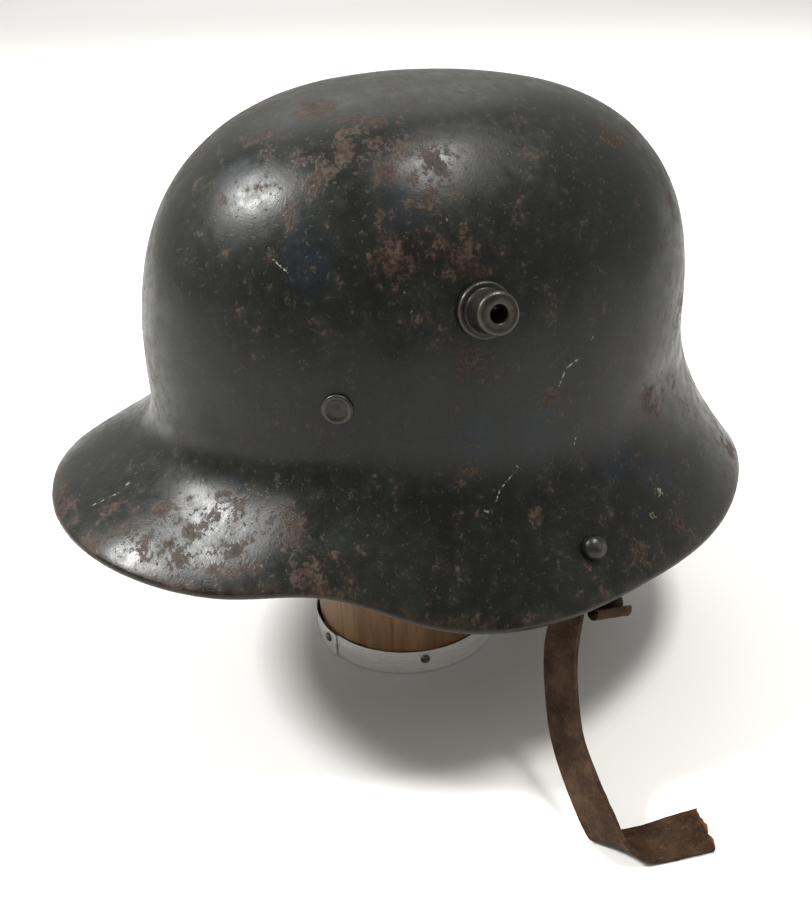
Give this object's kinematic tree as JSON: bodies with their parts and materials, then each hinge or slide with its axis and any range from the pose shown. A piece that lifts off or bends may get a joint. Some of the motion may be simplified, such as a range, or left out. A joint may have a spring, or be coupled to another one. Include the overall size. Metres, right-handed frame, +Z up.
{
  "type": "steel trench helmet on a wooden display stand",
  "caption": "Steel helmet with visor, flared neck skirt, stepped vent lugs and a torn leather chin strap, on a round wooden post with a tin band.",
  "frame": {"origin": "centre of the stand's flat underside, on the surface that the stand rests on", "axes": "+Z up, -Y towards the visor, +X towards the wearer's left"},
  "size_m": [0.2922, 0.3019, 0.2463],
  "materials": {
    "painted_steel": "worn dark field-grey paint, semi-gloss, with rust blotches and chips",
    "strap_leather": "old dry brown leather, rough on its flesh side",
    "stand_wood": "varnished orange-brown wood",
    "stand_tin": "dull tinplate",
    "nail_steel": "darkened steel"
  },
  "bodies": {
    "root": {"shell": "painted_steel", "vent_lug_left": "painted_steel", "vent_lug_right": "painted_steel", "liner_rivet_left": "painted_steel", "liner_rivet_right": "painted_steel", "liner_rivet_rear": "painted_steel", "strap_rivet_left": "painted_steel", "strap_rivet_right": "painted_steel", "chin_strap": "strap_leather", "strap_stub": "strap_leather", "stand_post": "stand_wood", "stand_band": "stand_tin", "stand_nail_1": "nail_steel", "stand_nail_2": "nail_steel", "stand_nail_3": "nail_steel", "stand_nail_4": "nail_steel"}
  },
  "joints": []
}
